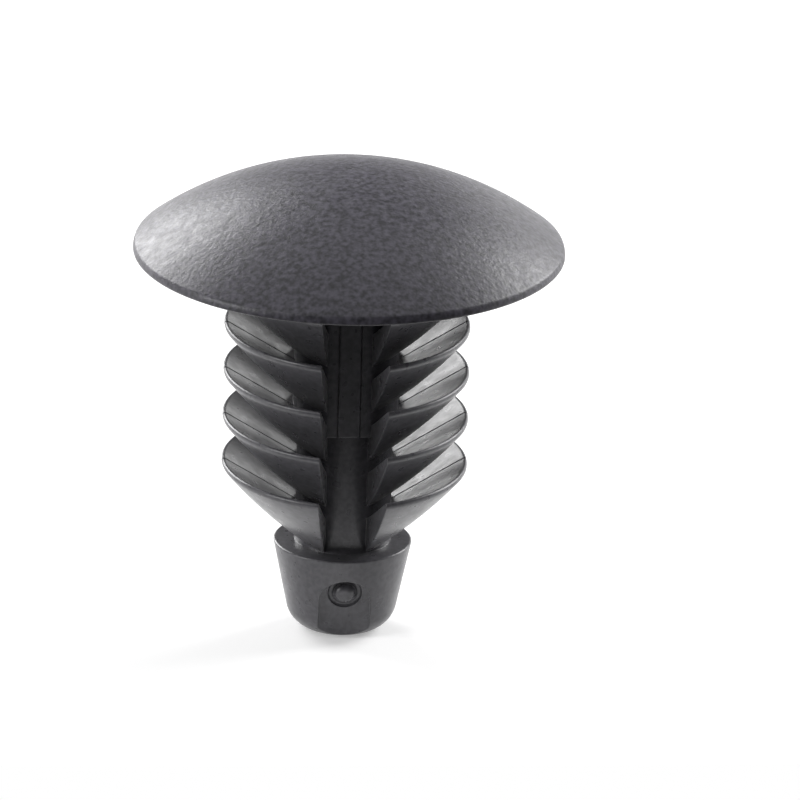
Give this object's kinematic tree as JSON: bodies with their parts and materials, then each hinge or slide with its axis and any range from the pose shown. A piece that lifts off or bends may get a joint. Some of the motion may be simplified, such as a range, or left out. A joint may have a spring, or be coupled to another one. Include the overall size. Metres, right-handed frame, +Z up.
{
  "type": "push-in trim clip",
  "caption": "Push-in plastic trim clip, moulded in one piece: a shallow domed round head on a shank of cup-shaped fins, slotted front and back, with a blunt tapered tip.",
  "frame": {"origin": "The middle of the flat ring under the head that seats on the panel, on the clip's axis.", "axes": "+Z is up, out of the panel through the top of the head. The shank points down -Z. -Y is the front, where the slot shows the core and the tip has its gate mark. +X is to the right."},
  "size_m": [0.018, 0.018, 0.02],
  "materials": {
    "black_nylon": "dark grey-black moulded nylon, finely grained matte on the head, satin on the shank"
  },
  "bodies": {
    "root": {"trim_clip": "black_nylon"}
  },
  "joints": []
}
